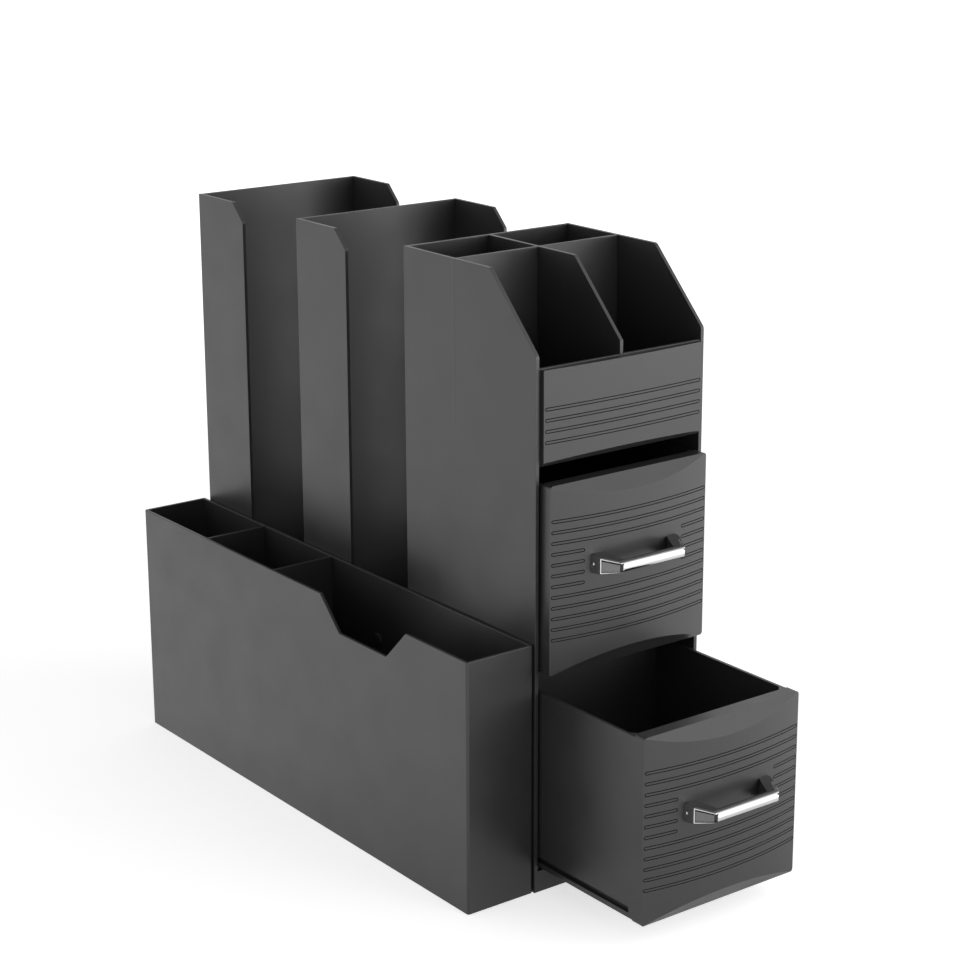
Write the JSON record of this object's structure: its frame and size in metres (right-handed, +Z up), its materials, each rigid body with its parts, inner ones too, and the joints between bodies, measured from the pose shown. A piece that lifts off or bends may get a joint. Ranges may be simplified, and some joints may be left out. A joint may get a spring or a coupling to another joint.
{
  "type": "coffee capsule holder",
  "caption": "Dark grey plastic counter-top coffee organiser with drawers for capsules, open top compartments, tall cup bays with slotted sides and a long side pocket with a notch",
  "frame": {"origin": "centre of the housing's footprint, where its base panel meets the counter", "axes": "+X to the right as seen from the front, +Y from the drawer fronts to the back, +Z up"},
  "size_m": [0.1663, 0.4661, 0.355],
  "materials": {
    "housing_plastic": "satin moulded dark grey plastic",
    "drawer_plastic": "satin moulded dark grey plastic",
    "bright_chrome": "bright chrome plating",
    "handle_plastic": "satin dark grey plastic",
    "zinc_steel": "zinc-plated steel"
  },
  "bodies": {
    "housing": {"left_side_panel": "housing_plastic", "right_side_panel": "housing_plastic", "back_wall": "housing_plastic", "cup_bay_divider": "housing_plastic", "tower_rear_wall": "housing_plastic", "base_panel": "housing_plastic", "bottom_front_rail": "housing_plastic", "compartment_front_wall": "housing_plastic", "compartment_floor": "housing_plastic", "cross_divider": "housing_plastic", "centre_divider": "housing_plastic", "fixed_front_panel": "housing_plastic", "right_upper_guide": "housing_plastic", "left_upper_guide": "housing_plastic", "right_lower_guide": "housing_plastic", "left_lower_guide": "housing_plastic", "pocket_tray": "housing_plastic", "pocket_outer_wall": "housing_plastic", "pocket_front_divider": "housing_plastic", "pocket_rear_divider": "housing_plastic", "pocket_rivets": "housing_plastic"},
    "upper_drawer": {"upper_drawer_front": "drawer_plastic", "upper_drawer_box": "drawer_plastic", "upper_handle_bracket": "handle_plastic", "upper_handle_trim": "bright_chrome", "upper_handle_pins": "bright_chrome", "upper_handle_screws": "zinc_steel"},
    "lower_drawer": {"lower_drawer_front": "drawer_plastic", "lower_drawer_box": "drawer_plastic", "lower_handle_bracket": "handle_plastic", "lower_handle_trim": "bright_chrome", "lower_handle_pins": "bright_chrome", "lower_handle_screws": "zinc_steel"}
  },
  "joints": [
    {"name": "upper_drawer_slide", "type": "slide", "parent": "housing", "child": "upper_drawer", "axis": [0, -1, 0], "range_m": [0, 0.09]},
    {"name": "lower_drawer_slide", "type": "slide", "parent": "housing", "child": "lower_drawer", "axis": [0, -1, 0], "range_m": [-0.08, 0.01]}
  ]
}
